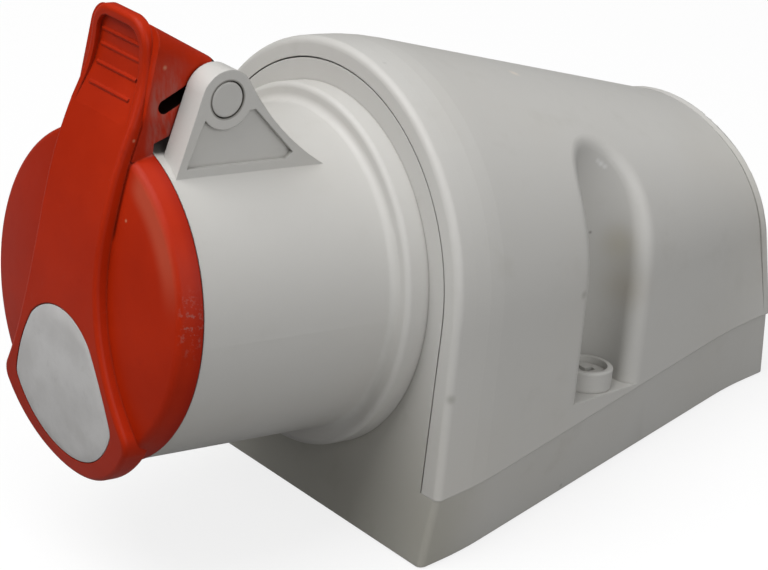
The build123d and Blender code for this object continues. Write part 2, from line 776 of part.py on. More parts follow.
def contact_angle(index):
    """Angle of a contact on its circle; index 0 is earth, at the bottom."""
    return -90 + 72 * index


def contact_spot(index):
    """Location of a contact's axis in the socket's frame."""
    a = radians(contact_angle(index))
    return Pos(contact_circle_r * cos(a), contact_circle_r * sin(a), 0)


def sleeve_sizes(index):
    """Outer and bore radius of a contact sleeve."""
    if index == 0:
        return earth_sleeve_r, earth_bore_r
    return phase_sleeve_r, phase_bore_r


def carrier_screw_spots():
    """Places of the two screws that hold the carrier's halves together."""
    angles = (contact_angle(1.5), contact_angle(3.5))
    return [Rot(0, 0, angle) * Pos(carrier_screw_circle_r, 0, 0) for angle in angles]


def make_contact_carrier():
    """Front half of the insulating carrier, with a pin entry per contact."""
    body = ring(carrier_r, 0, ledge_front, carrier_face_along - ledge_front)
    body += ring(carrier_shoulder_r, 0, ledge_front, carrier_shoulder_thickness)
    body += ring(ledge_r - carrier_spigot_gap, 0, ledge_back, ledge_front - ledge_back)
    for index in range(5):
        out_r, bore_r = sleeve_sizes(index)
        hole = ring(out_r + sleeve_gap, 0, ledge_back - 1, sleeve_front_along - ledge_back + 1)
        hole += ring(bore_r + pin_entry_gap, 0, sleeve_front_along - 1, carrier_face_along)
        hole += ring(out_r + sleeve_shoulder + sleeve_gap, 0, ledge_back - 1, sleeve_shoulder_thickness + 1)
        body -= contact_spot(index) * hole
    for spot in carrier_screw_spots():
        body -= spot * ring(carrier_screw_r, 0, ledge_back - 1, carrier_screw_grip + 1)
    return socket * body


def make_carrier_back():
    """Rear half of the carrier, clamped against the collar's ledge."""
    body = ring(carrier_back_r, 0, carrier_back_along, ledge_back - carrier_back_along)
    body += ring(rear_bore_r - carrier_spigot_gap, 0, ledge_back - carrier_back_flange, carrier_back_flange)
    for index in range(5):
        out_r, _ = sleeve_sizes(index)
        body -= contact_spot(index) * ring(out_r + sleeve_gap, 0, carrier_back_along - 1, 60)
        angle = contact_angle(index)
        access = Rot(0, 0, angle) * Pos(0, 0, terminal_screw_along) * Rot(0, 90, 0)
        body -= access * ring(terminal_screw_r + terminal_access_gap, 0, contact_circle_r, 30)
    for spot in carrier_screw_spots():
        body -= spot * ring(carrier_screw_r + 0.2, 0, carrier_back_along - 1, 60)
        seat_depth = 1 + carrier_screw_head_height
        body -= spot * ring(carrier_screw_head_r + 0.3, 0, carrier_back_along - 1, seat_depth)
    return socket * body


def make_sleeve(index):
    """Turned contact sleeve: slit bore in front, wire terminal behind."""
    out_r, bore_r = sleeve_sizes(index)
    body = ring(out_r, 0, sleeve_back_along, sleeve_front_along - sleeve_back_along)
    body += ring(out_r + sleeve_shoulder, 0, ledge_back, sleeve_shoulder_thickness)
    body -= ring(bore_r, 0, sleeve_bore_end_along, 80)
    body -= ring(wire_bore_r, 0, sleeve_back_along - 1, wire_bore_end_along - sleeve_back_along + 1)
    for turn in (0, 90):
        slit = Pos(0, 0, sleeve_slit_to_along + 30) * Box(sleeve_slit, 4 * out_r, 60)
        body -= Rot(0, 0, turn) * slit
    screw_hole = Rot(0, 0, contact_angle(index)) * Pos(0, 0, terminal_screw_along) * Rot(0, 90, 0)
    body -= screw_hole * ring(terminal_screw_r, 0, 0, 3 * out_r)
    return socket * contact_spot(index) * body


def make_terminal_screws():
    """Five clamping screws, one across each terminal."""
    screws = []
    for index in range(5):
        out_r, _ = sleeve_sizes(index)
        start = contact_circle_r + wire_bore_r * 0.6
        screw = ring(terminal_screw_r - sleeve_gap / 2, 0, start, terminal_screw_length)
        screw -= Pos(0, 0, start + terminal_screw_length) * Box(0.8, 2 * terminal_screw_r, 1.6)
        place = Rot(0, 0, contact_angle(index)) * Pos(0, 0, terminal_screw_along) * Rot(0, 90, 0)
        screws.append(place * screw)
    return socket * Compound(screws)


def make_carrier_screws():
    """Two screws that draw the carrier's halves together."""
    seat = carrier_back_along + carrier_screw_head_height
    screw = ring(carrier_screw_head_r, 0, carrier_back_along, carrier_screw_head_height)
    screw += ring(carrier_screw_r, 0, seat, ledge_back + carrier_screw_grip - 1 - seat)
    screw -= Pos(0, 0, carrier_back_along) * Box(0.8, 2 * carrier_screw_head_r, 1.6)
    return socket * Compound([spot * screw for spot in carrier_screw_spots()])


def make_hood_screw(hand):
    """Captive plastic screw with a cup-shaped slotted head."""
    head = ring(screw_head_r, 0, 0, screw_head_height)
    head = fillet(head.edges().sort_by(Axis.Z)[-1], 0.6)
    head -= ring(screw_cup_r, 0, screw_head_height - screw_cup_depth, screw_cup_depth + 1)
    head -= Pos(0, 0, screw_head_height - screw_cup_depth) * Box(2 * screw_cup_r - 1.6, 1.6, 3.0)
    head -= Pos(0, 0, screw_head_height - screw_cup_depth) * Box(1.6, 2 * screw_cup_r - 5, 3.0)
    shank = ring(screw_shank_r, 0, -hood_wall, hood_wall)
    shank += ring(screw_tip_r, 0, -hood_wall - screw_tip_length, screw_tip_length)
    screw = on_channel(head + shank, -ledge_down)
    if hand < 0:
        screw = mirror(screw, Plane.YZ)
    return screw


def make_screw_inserts():
    """Threaded metal inserts in the wall box's two pillars."""
    insert = ring(insert_r, screw_tip_r + 0.05, -insert_length, insert_length)
    return mirrored(on_channel(insert, -ledge_down - hood_wall))


def make_cable_grommet():
    """Rubber grommet: flanges on both sides of the rear wall, soft sleeve."""
    inside = hood_wall + grommet_flange_thickness
    body = ring(grommet_flange_r, 0, 0, grommet_flange_thickness)
    body = fillet(body.edges().sort_by(Axis.Z)[-1], grommet_flange_edge)
    body += ring(grommet_neck_r, 0, -hood_wall, hood_wall)
    body += ring(grommet_flange_r, 0, -inside, grommet_flange_thickness)
    body += ring(grommet_sleeve_r, 0, -inside - grommet_sleeve_length, grommet_sleeve_length)
    body -= ring(grommet_bore_r, 0, -40, 80)
    return rear_frame() * body


def save(name, shape):
    """Write one sub-part's solids to its STEP file."""
    solids = shape.solids()
    solid = solids[0] if len(solids) == 1 else Compound(solids)
    export_step(solid, f"parts/{name}.step")


contact_names = ("contact_earth", "contact_line_1", "contact_line_2", "contact_line_3", "contact_neutral")
nodes = {
    "back_box": make_back_box(),
    "hood": make_hood(),
    "socket_collar": make_collar(),
    "lid": make_lid(),
    "lid_gasket": make_lid_gasket(),
    "lid_spring": make_lid_spring(),
    "hinge_pin": make_hinge_pin(),
    "pin_cap_right": make_pin_cap(1),
    "pin_cap_left": make_pin_cap(-1),
    "flange_gasket": make_flange_gasket(),
    "flange_screws": make_flange_screws(),
    "contact_carrier": make_contact_carrier(),
    "carrier_back": make_carrier_back(),
    "carrier_screws": make_carrier_screws(),
    "terminal_screws": make_terminal_screws(),
    "hood_screw_right": make_hood_screw(1),
    "hood_screw_left": make_hood_screw(-1),
    "screw_inserts": make_screw_inserts(),
    "cable_grommet": make_cable_grommet(),
}
for index, name in enumerate(contact_names):
    nodes[name] = make_sleeve(index)

os.makedirs("parts", exist_ok=True)
for name, shape in nodes.items():
    save(name, shape)
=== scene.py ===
import bpy
from math import cos, radians, sin
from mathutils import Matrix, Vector


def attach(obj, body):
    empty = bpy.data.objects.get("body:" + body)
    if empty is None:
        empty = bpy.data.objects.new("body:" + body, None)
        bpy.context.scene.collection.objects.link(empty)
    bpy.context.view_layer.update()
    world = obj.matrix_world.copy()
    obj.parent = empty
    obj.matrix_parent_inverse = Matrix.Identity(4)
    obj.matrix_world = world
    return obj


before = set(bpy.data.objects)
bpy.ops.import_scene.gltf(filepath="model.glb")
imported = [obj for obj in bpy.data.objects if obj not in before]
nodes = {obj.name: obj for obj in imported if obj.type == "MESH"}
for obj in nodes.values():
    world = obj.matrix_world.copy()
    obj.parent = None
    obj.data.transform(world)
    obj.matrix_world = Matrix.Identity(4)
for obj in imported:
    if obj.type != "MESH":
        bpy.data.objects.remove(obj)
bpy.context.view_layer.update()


# Camera. A long lens from the right of the lid and a little above it, as the
# socket was photographed: the lid turned to the left, the hood's right side
# and one driver channel towards the viewer.
lens = bpy.data.cameras.new("camera")
lens.lens = 131.7147
lens.sensor_width = 36.0
lens.clip_start = 0.02
lens.clip_end = 40.0
camera = bpy.data.objects.new("camera", lens)
camera.location = (0.513383, -0.407533, 0.363711)
camera.rotation_euler = (radians(63.38689), radians(2.28856), radians(52.59944))
bpy.context.scene.collection.objects.link(camera)
bpy.context.scene.camera = camera
bpy.context.scene.view_settings.view_transform = "Standard"


# Floor. A plain sheet of white paper, laid flat, that the socket stands on
# with its wall side. It looks white to the camera and keeps a soft shadow,
# and throws little light back up at the socket.
class Wire:
    """One value in a shader, added and multiplied like a number."""

    def __init__(self, wiring, socket):
        self.wiring = wiring
        self.socket = socket

    def maths(self, operation, first, second):
        return self.wiring.node("ShaderNodeMath", {"operation": operation}, {0: first, 1: second})

    def __add__(self, other):
        return self.maths("ADD", self, other)

    def __sub__(self, other):
        return self.maths("SUBTRACT", self, other)

    def __rsub__(self, other):
        return self.maths("SUBTRACT", other, self)

    def __mul__(self, other):
        return self.maths("MULTIPLY", self, other)

    def __abs__(self):
        return self.maths("ABSOLUTE", self, 0.0)

    def at_most(self, other):
        return self.maths("MINIMUM", self, other)

    def across(self, other):
        """The distance that two lengths at right angles make."""
        return self.maths("SQRT", self * self + other * other, 0.0)

    __radd__ = __add__
    __rmul__ = __mul__


class Wiring:
    """A node tree, with one method that adds any kind of node."""

    def __init__(self, tree):
        self.tree = tree

    def node(self, kind, settings, sockets, output=0):
        made = self.tree.nodes.new(kind)
        for key, value in settings.items():
            setattr(made, key, value)
        for key, value in sockets.items():
            if isinstance(value, Wire):
                self.tree.links.new(value.socket, made.inputs[key])
            else:
                made.inputs[key].default_value = value
        return Wire(self, made.outputs[output])


class Finish(Wiring):
    """A material on the plain shader, with patterns that lie in the piece."""

    def __init__(self, name):
        self.material = bpy.data.materials.new(name)
        self.material.use_nodes = True
        super().__init__(self.material.node_tree)
        self.shader = self.tree.nodes["Principled BSDF"]
        self.place = self.node("ShaderNodeTexCoord", {}, {}, "Object")
        self.x, self.y, self.z = (
            self.node("ShaderNodeSeparateXYZ", {}, {0: self.place}, axis) for axis in "XYZ"
        )

    def noise(self, scale, detail=2.0, rough=0.5, stretch=None):
        """Cloudy pattern from 0 to 1, stretched where a stretch is given."""
        place = self.place
        if stretch:
            place = self.node("ShaderNodeMapping", {}, {"Vector": place, "Scale": stretch})
        sockets = {"Vector": place, "Scale": scale, "Detail": detail, "Roughness": rough}
        return self.node("ShaderNodeTexNoise", {}, sockets, "Fac")

    def ramp(self, value, nought, one):
        """0 at one value and 1 at the other, with a soft step between."""
        sockets = {"Value": value, "From Min": nought, "From Max": one}
        return self.node("ShaderNodeMapRange", {"interpolation_type": "SMOOTHSTEP"}, sockets)

    def band(self, value, start, full_from, full_to, end):
        """1 between the two middle values, softly down to 0 at the outer."""
        return self.ramp(value, start, full_from) * self.ramp(value, end, full_to)

    def mix(self, share, first, second):
        """Blend two colours, each a wire or three numbers."""
        pair = [colour if isinstance(colour, Wire) else (*colour, 1.0) for colour in (first, second)]
        return self.node("ShaderNodeMix", {"data_type": "RGBA"}, {0: share, 6: pair[0], 7: pair[1]}, 2)

    def near(self, centre, reach):
        """1 at a place in the piece, falling to 0 at a distance."""
        vectors = {0: self.place, 1: centre}
        away = self.node("ShaderNodeVectorMath", {"operation": "DISTANCE"}, vectors, "Value")
        return self.ramp(away, reach, 0.0)

    def along(self, direction, start):
        """How far a place lies from a start, along a direction."""
        vectors = {0: self.place, 1: direction}
        reach = self.node("ShaderNodeVectorMath", {"operation": "DOT_PRODUCT"}, vectors, "Value")
        return reach - direction.dot(start)

    def edges(self, width, sharp_turn=0.80, slight_turn=0.985):
        """1 on outer and inner edges, 0 on open faces."""
        soft = self.node("ShaderNodeBevel", {"samples": 4}, {"Radius": width})
        plain = self.node("ShaderNodeNewGeometry", {}, {}, "Normal")
        vectors = {0: soft, 1: plain}
        turn = self.node("ShaderNodeVectorMath", {"operation": "DOT_PRODUCT"}, vectors, "Value")
        return self.ramp(turn, slight_turn, sharp_turn)

    def corners(self, reach, half_open=0.62, shut=0.30):
        """1 deep in an inner corner or a gap, 0 on open faces."""
        sockets = {"Distance": reach}
        open_share = self.node("ShaderNodeAmbientOcclusion", {"samples": 6}, sockets, "AO")
        return self.ramp(open_share, half_open, shut)

    def grain(self, height, strength, edge_width):
        """Bump from a height in metres, over edges that are softly rounded."""
        soft = self.node("ShaderNodeBevel", {"samples": 4}, {"Radius": edge_width})
        sockets = {"Height": height, "Strength": strength, "Distance": 1.0, "Normal": soft}
        return self.node("ShaderNodeBump", {}, sockets)

    def paint(self, **sockets):
        for key, value in sockets.items():
            target = self.shader.inputs[key.replace("_", " ")]
            if isinstance(value, Wire):
                self.tree.links.new(value.socket, target)
            else:
                target.default_value = value


white = (1.0, 1.0, 1.0)
paper_seen = (0.90, 0.90, 0.90)
paper_for_the_socket = (0.20, 0.20, 0.20)
paper_size = 8.0
paper_below_socket = 0.0004
glow_seen = 0.80
glow_mirrored = 0.12

floor_finish = Finish("floor_paper")
seen = floor_finish.node("ShaderNodeLightPath", {}, {}, "Is Camera Ray")
mirrored = floor_finish.node("ShaderNodeLightPath", {}, {}, "Is Glossy Ray")
floor_finish.paint(Base_Color=floor_finish.mix(seen, paper_for_the_socket, paper_seen), Roughness=0.9)
glow = floor_finish.node("ShaderNodeEmission", {}, {"Color": (*white, 1.0), "Strength": 1.0})
plain_paper = Wire(floor_finish, floor_finish.shader.outputs[0])
glow_share = (seen * glow_seen + mirrored * glow_mirrored).at_most(1.0)
paper = floor_finish.node("ShaderNodeMixShader", {}, {0: glow_share, 1: plain_paper, 2: glow})
floor_finish.tree.links.new(paper.socket, floor_finish.tree.nodes["Material Output"].inputs["Surface"])

bpy.ops.object.select_all(action="DESELECT")
bpy.ops.mesh.primitive_plane_add(size=paper_size, location=(0.0, 0.0, -paper_below_socket))
floor = bpy.context.object
floor.name = "floor"
bpy.ops.object.transform_apply(location=True, rotation=True, scale=True)
floor.data.materials.append(floor_finish.material)


# Studio walls. A pale room that is white to the camera. It sends soft light
# from above and from the right, and little from below and from the left,
# which gives the grey mouldings their shaded undersides.
sky_low, sky_high = -0.25, 0.9
light_low, light_high = 0.03, 0.42
light_from_right = 0.35

world = bpy.data.worlds.new("studio")
world.use_nodes = True
bpy.context.scene.world = world
studio = Wiring(world.node_tree)
direction = studio.node("ShaderNodeTexCoord", {}, {}, "Generated")
rightward = studio.node("ShaderNodeSeparateXYZ", {}, {0: direction}, "X")
upward = studio.node("ShaderNodeSeparateXYZ", {}, {0: direction}, "Z")
soft_light = studio.node("ShaderNodeMapRange", {}, {
    "Value": rightward * light_from_right + upward,
    "From Min": sky_low, "From Max": sky_high, "To Min": light_low, "To Max": light_high,
})
camera_sees = studio.node("ShaderNodeLightPath", {}, {}, "Is Camera Ray")
strength = studio.node("ShaderNodeMix", {}, {0: camera_sees, 2: soft_light, 3: 1.0})
backdrop = studio.tree.nodes["Background"]
backdrop.inputs["Color"].default_value = (*white, 1.0)
studio.tree.links.new(strength.socket, backdrop.inputs["Strength"])


# Lamps. Three square soft boxes on stands: the broad one hangs above the lid,
# a weaker one stands far out on the right, and the weakest fills the front.
def soft_box(name, place, aim, size, watts):
    """A square lamp at a place, turned to face a point."""
    light = bpy.data.lights.new(name, "AREA")
    light.shape = "SQUARE"
    light.size = size
    light.energy = watts
    box = bpy.data.objects.new(name, light)
    box.location = place
    box.rotation_euler = (Vector(aim) - Vector(place)).to_track_quat("-Z", "Y").to_euler()
    bpy.context.scene.collection.objects.link(box)


soft_box("lamp_above", place=(-0.10, -0.40, 1.25), aim=(0.0, -0.02, 0.05), size=1.0, watts=14.2)
soft_box("lamp_right", place=(1.25, -0.10, 0.62), aim=(0.0, 0.0, 0.06), size=0.9, watts=5.8)
soft_box("lamp_front", place=(-0.3, -1.20, 0.75), aim=(0.0, -0.05, 0.06), size=0.8, watts=2.6)


# Wall box. The lower moulding that is screwed to the wall, with the leaning
# panel in one piece with it. It is light warm grey plastic with a fine grain,
# a little yellowed. Low on its front it darkens to olive towards the bottom,
# partly soil and partly painted shade under the collar.
clean_grey = (0.520, 0.512, 0.490)
aged_grey = (0.500, 0.483, 0.447)
grimy = (0.33, 0.315, 0.265)
olive = (0.235, 0.222, 0.155)
# Dark dirt for the specks and the caps' rings, and painted shade in corners.
dirt_and_shade_dark = (0.11, 0.10, 0.08)
rubbed_pale = (0.62, 0.61, 0.59)
channel_dust = (0.20, 0.192, 0.165)
channel_x = (0.0280, 0.0300, 0.0415, 0.0450)
channel_y = (-0.003, 0.006, 0.0165, 0.0185)
channel_foot_z, channel_top_z = 0.046, 0.068
low_soil_and_shade_z = (0.062, 0.004)
low_soil_and_shade_y = (-0.040, -0.062)


def dress(name, finish):
    """Give a CAD node its finish."""
    node = nodes[name]
    node.data.materials.clear()
    node.data.materials.append(finish.material)


def moulded_grey(name, shade, soil, low_soil_and_shade=0.0):
    """Aged grey plastic: its lightness, its smears, the film low down that is partly painted shade, and
    painted shade in its corners.
    """
    plastic = Finish(name)
    clouds = plastic.noise(scale=20.0, detail=3.0)
    stains = plastic.noise(scale=95.0, detail=5.0, rough=0.6)
    streaks = plastic.noise(scale=1.0, detail=3.0, stretch=(160.0, 18.0, 60.0))
    smears = plastic.ramp(stains, 0.50, 0.78) * plastic.ramp(streaks, 0.40, 0.70)
    low = plastic.ramp(plastic.z, *low_soil_and_shade_z) * plastic.ramp(plastic.y, *low_soil_and_shade_y)
    speck_cells = {"Vector": plastic.place, "Scale": 66.0}
    from_speck = plastic.node("ShaderNodeTexVoronoi", {"feature": "F1"}, speck_cells, "Distance")
    here_and_there = plastic.ramp(plastic.noise(scale=31.0, detail=1.0), 0.62, 0.70)
    specks = plastic.ramp(from_speck, 0.050, 0.022) * here_and_there
    worn_edges = plastic.edges(width=0.0006)
    channel = plastic.band(abs(plastic.x), *channel_x) * plastic.band(plastic.y, *channel_y)
    channel *= plastic.ramp(plastic.z, channel_top_z, channel_foot_z)

    clean = [part * shade for part in clean_grey]
    aged = [part * shade for part in aged_grey]
    colour = plastic.mix(plastic.ramp(clouds, 0.42, 0.72) * 0.5, clean, aged)
    colour = plastic.mix(smears * soil, colour, grimy)
    # Partly soil and partly painted shade: the olive tone darkens the front towards the bottom, under the
    # collar.
    colour = plastic.mix(low * low_soil_and_shade, colour, olive)
    colour = plastic.mix(specks * 0.45, colour, dirt_and_shade_dark)
    colour = plastic.mix(worn_edges * 0.22, colour, rubbed_pale)
    # Painted shade, with the dirt that gathers there: inner corners and gaps are darkened by ambient
    # occlusion.
    colour = plastic.mix(plastic.corners(reach=0.0016) * 0.60, colour, dirt_and_shade_dark)
    colour = plastic.mix(channel * 0.22, colour, channel_dust)
    pores = plastic.noise(scale=2600.0, rough=0.6) * 0.00002
    ripple = plastic.noise(scale=60.0, rough=0.4) * 0.00016
    plastic.paint(
        Base_Color=colour,
        Roughness=0.44 + smears * 0.16 + stains * 0.08 - worn_edges * 0.06,
        Specular_IOR_Level=0.42,
        Normal=plastic.grain(pores + ripple, strength=0.6, edge_width=0.0004),
    )
    plastic.colour = colour
    return plastic


dress("back_box", moulded_grey("box_plastic", shade=0.98, soil=0.28, low_soil_and_shade=0.42))


# Hood. The arched cover of the same grey plastic, cleaner than the box. The
# right driver channel has a brown trace down its fold and a pale dash of
# painted highlight at its top, and a few specks of dirt stick to the hood's
# side and front edge.
brown_trace = (0.36, 0.315, 0.215)
browner_trace = (0.33, 0.275, 0.195)
painted_highlight_white = (0.80, 0.80, 0.80)
hood_marks = (
    # where, how far it reaches, how strong, colour
    ((0.0366, 0.0160, 0.0545), 0.0075, 0.34, brown_trace),
    ((0.0396, 0.0150, 0.0440), 0.0090, 0.30, browner_trace),
    ((0.0313, 0.0110, 0.0574), 0.0007, 0.70, (0.10, 0.09, 0.08)),
    ((0.0496, -0.0071, 0.0528), 0.0016, 0.50, (0.24, 0.23, 0.20)),
    ((0.0561, -0.0542, 0.0436), 0.0018, 0.55, (0.22, 0.21, 0.18)),
    ((0.0079, 0.0065, 0.0948), 0.0022, 0.45, (0.80, 0.70, 0.58)),
    # Painted highlight: a pale dash where the top of the channel's fold catches the light.
    ((0.0306, 0.0140, 0.0761), 0.0010, 0.45, painted_highlight_white),
    ((0.0312, 0.0147, 0.0752), 0.0011, 0.50, painted_highlight_white),
    ((0.0318, 0.0155, 0.0743), 0.0010, 0.45, painted_highlight_white),
)
hood_plastic = moulded_grey("hood_plastic", shade=1.0, soil=0.14)
hood_colour = hood_plastic.colour
for centre, reach, share, stain in hood_marks:
    hood_colour = hood_plastic.mix(hood_plastic.near(centre, reach) * share, hood_colour, stain)
hood_plastic.paint(Base_Color=hood_colour)
dress("hood", hood_plastic)


# Socket collar, pin caps and hood screws. Flange, collar and hinge ears are
# one grey moulding; the caps are pressed over the hinge pin's ends, and the
# screws hold the hood. Dirt rings the caps, and the collar's rim under the
# lid's arm is painted near black as shade.
lean = radians(11.5)
outward = Vector((0.0, -cos(lean), sin(lean)))
up_panel = Vector((0.0, sin(lean), cos(lean)))
ring_centre = Vector((0.0, -0.052058, 0.058697))
hinge_pin = ring_centre + up_panel * 0.0519 + outward * 0.0474
cap_r = 0.0045
cap_ring_outer, cap_ring_inner = 0.00042, 0.00018
under_arm_painted_shade = (0.030, 0.026, 0.020)
under_arm_shade_x = (0.0150, 0.0132)
under_arm_shade_y = (-0.1045, -0.1032, -0.090, -0.086)
under_arm_shade_z = (0.1055, 0.1070)


def ringed_caps(plastic):
    """The dirt that sits in the gap round a pin cap."""
    off_pin = (plastic.y - hinge_pin.y).across(plastic.z - hinge_pin.z)
    ring = plastic.ramp(abs(off_pin - cap_r), cap_ring_outer, cap_ring_inner)
    return plastic.mix(ring * 0.55, plastic.colour, dirt_and_shade_dark)


# Painted light: the collar is made a little lighter than the hood, for the brighter light on its front and
# top.
collar_plastic = moulded_grey("collar_plastic", shade=1.03, soil=0.10)
# Painted shade: the collar's rim under the lid's arm, where little light reaches, is made near black.
under_arm = collar_plastic.ramp(abs(collar_plastic.x), *under_arm_shade_x)
under_arm *= collar_plastic.band(collar_plastic.y, *under_arm_shade_y)
under_arm *= collar_plastic.ramp(collar_plastic.z, *under_arm_shade_z)
collar_colour = collar_plastic.mix(under_arm * 0.85, ringed_caps(collar_plastic), under_arm_painted_shade)
collar_plastic.paint(Base_Color=collar_colour)
dress("socket_collar", collar_plastic)

fittings_plastic = moulded_grey("fittings_plastic", shade=0.98, soil=0.22)
fittings_plastic.paint(Base_Color=ringed_caps(fittings_plastic))
for name in ("pin_cap_left", "pin_cap_right", "hood_screw_left", "hood_screw_right"):
    dress(name, fittings_plastic)


# Lid. One red moulding with a satin face, a little cloudy, that turns on the
# hinge pin. It is rubbed pale along its edges and scuffed on the right of its
# skirt and on the arm's flank. Painted on it are a sheen on the right shoulder
# of the dome, and shade on the skirt's rim, beside the bar, in inner corners
# and inside the arm's slots.
deep_red = (0.345, 0.0150, 0.0008)
bright_red = (0.420, 0.0205, 0.0018)
speckled_red = (0.26, 0.0100, 0.0022)
edge_red = (0.50, 0.070, 0.030)
scuffed_red = (0.30, 0.125, 0.105)
skirt_painted_shade_red = (0.20, 0.0020, 0.0002)
shoulder_painted_sheen_red = (0.47, 0.100, 0.055)
groove_painted_shade_red = (0.085, 0.0035, 0.0008)
corner_painted_shade_red = (0.055, 0.0030, 0.0010)
nick_tan = (0.58, 0.30, 0.18)
slot_painted_shade_black = (0.010, 0.004, 0.003)
skirt_scuff_place, skirt_scuff_reach = (0.0394, -0.1125, 0.0770), 0.0110
arm_side_x = (0.0126, 0.0132, 0.0144, 0.0150)
arm_side_out = (0.0535, 0.0568, 0.0620, 0.0640)
arm_side_z = (0.088, 0.100, 0.120, 0.132)
slot_tip_out, slot_tip_up, slot_lean = 0.0592, 0.0489, radians(28.0)
slot_half_width = (0.0022, 0.0019)
slot_x = (0.0070, 0.0080, 0.01385, 0.01405)
slot_end_out = (0.0616, 0.0612)
skirt_r = (0.0390, 0.0402)
skirt_front_out = (0.0640, 0.0610)
skirt_top_up = (0.0400, 0.0370)
shoulder_r = (0.0325, 0.0360, 0.0372, 0.0392)
shoulder_up = (0.004, 0.020)
shoulder_x = (0.014, 0.019)
groove_x = (0.01312, 0.01330, 0.0136, 0.0144)
groove_out = (0.0560, 0.0580)
groove_up = (0.0170, 0.0200, 0.0440, 0.0480)
nicks = (
    ((0.0141, -0.0994, 0.1277), 0.0008),
    ((0.0131, -0.1085, 0.1122), 0.0006),
    ((0.0166, -0.1145, 0.0955), 0.0006),
)

red = Finish("lid_plastic")
off_middle = abs(red.x)
out = red.along(outward, ring_centre)
up = red.along(up_panel, ring_centre)
off_axis = red.x.across(up)
clouds = red.noise(scale=26.0, detail=4.0, rough=0.6)
speckle = red.noise(scale=210.0, detail=4.0, rough=0.65)
scratch_lines = red.noise(scale=1.0, stretch=(520.0, 90.0, 1400.0))
scratches = red.ramp(scratch_lines, 0.66, 0.74) * red.ramp(clouds, 0.45, 0.62)
fine_rub = red.noise(scale=700.0, detail=4.0, rough=0.7)
skirt_scuff = red.near(skirt_scuff_place, skirt_scuff_reach) * red.ramp(fine_rub, 0.52, 0.66)
skirt_scuff *= red.ramp(off_axis, 0.0378, 0.0394)
long_rub = red.noise(scale=1.0, detail=4.0, rough=0.65, stretch=(420.0, 420.0, 110.0))
arm_side = red.band(off_middle, *arm_side_x) * red.band(out, *arm_side_out) * red.band(red.z, *arm_side_z)
arm_scuff = arm_side * red.ramp(long_rub, 0.30, 0.62)
off_slot = abs((out - slot_tip_out) * sin(slot_lean) + (up - slot_tip_up) * cos(slot_lean))
slots = red.ramp(off_slot, *slot_half_width) * red.band(off_middle, *slot_x) * red.ramp(out, *slot_end_out)
skirt = red.ramp(off_axis, *skirt_r) * red.ramp(out, *skirt_front_out) * red.ramp(up, *skirt_top_up)
shoulder = red.band(off_axis, *shoulder_r) * red.ramp(up, *shoulder_up) * red.ramp(red.x, *shoulder_x)
groove = red.band(off_middle, *groove_x) * red.ramp(out, *groove_out) * red.band(up, *groove_up)
scuffs = (skirt_scuff * 0.65 + arm_scuff * 0.62 + scratches * 0.08).at_most(1.0)

red_colour = red.mix(red.ramp(clouds, 0.35, 0.72), deep_red, bright_red)
red_colour = red.mix(red.ramp(speckle, 0.55, 0.80) * 0.30, red_colour, speckled_red)
red_colour = red.mix(red.edges(width=0.0007) * 0.10, red_colour, edge_red)
red_colour = red.mix(scuffs, red_colour, scuffed_red)
# Painted shade: the skirt's rim behind the lid's face is made darker.
red_colour = red.mix(skirt * 0.42, red_colour, skirt_painted_shade_red)
# Painted sheen: a pale band on the right shoulder of the dome, where the lamps are reflected.
red_colour = red.mix(shoulder * 0.50, red_colour, shoulder_painted_sheen_red)
# Painted shade: a dark line down each side of the lid's bar, in the crease at its foot.
red_colour = red.mix(groove * 0.75, red_colour, groove_painted_shade_red)
# Painted shade: inner corners and gaps are darkened by ambient occlusion.
red_colour = red.mix(red.corners(reach=0.0016) * 0.70, red_colour, corner_painted_shade_red)
for centre, reach in nicks:
    red_colour = red.mix(red.near(centre, reach) * 0.55, red_colour, nick_tan)
# Painted shade: the inside of the arm's slots is made near black.
red_colour = red.mix(slots, red_colour, slot_painted_shade_black)
red_pores = red.noise(scale=2200.0, rough=0.6) * 0.000018
red_ripple = red.noise(scale=75.0, rough=0.4) * 0.00016
red.paint(
    Base_Color=red_colour,
    Roughness=0.36 + speckle * 0.12 + scuffs * 0.2,
    Specular_IOR_Level=0.13,
    Normal=red.grain(red_pores + red_ripple, strength=0.6, edge_width=0.0005),
)
dress("lid", red)


# Marking plate. A thin bare sheet of dulled aluminium that lies glued in the
# lid's egg-shaped recess. It is lifted from the recess's own floor, cut a
# little smaller, given its thickness and broken along its upper edge.
plate_fit = 0.988
plate_glue = 0.00006
plate_thickness = 0.0003
plate_edge = 0.00008
plate_middle = ring_centre - up_panel * 0.0220 + outward * 0.0710
haze_dark = (0.545, 0.535, 0.525)
haze_light = (0.645, 0.637, 0.628)
haze_spots = (0.43, 0.415, 0.40)

plate = nodes["lid"].copy()
plate.data = nodes["lid"].data.copy()
plate.name = "marking_plate"
for key in list(plate.keys()):
    del plate[key]
plate.parent = None
bpy.context.scene.collection.objects.link(plate)
bpy.ops.object.select_all(action="DESELECT")
bpy.context.view_layer.objects.active = plate
plate.select_set(True)
bpy.ops.object.mode_set(mode="EDIT")
bpy.ops.mesh.select_all(action="SELECT")
bpy.ops.mesh.remove_doubles(threshold=0.000002)
bpy.ops.mesh.select_all(action="DESELECT")
bpy.ops.object.mode_set(mode="OBJECT")
facing_out = [face for face in plate.data.polygons if face.normal.dot(outward) > 0.8]
recess_floor = min(facing_out, key=lambda face: (face.center - plate_middle).length)
recess_floor.select = True
plate.data.polygons.active = recess_floor.index
bpy.ops.object.mode_set(mode="EDIT")
bpy.ops.mesh.select_mode(type="FACE")
bpy.ops.mesh.faces_select_linked_flat(sharpness=radians(12.0))
bpy.ops.mesh.select_all(action="INVERT")
bpy.ops.mesh.delete(type="FACE")
bpy.ops.mesh.select_all(action="SELECT")
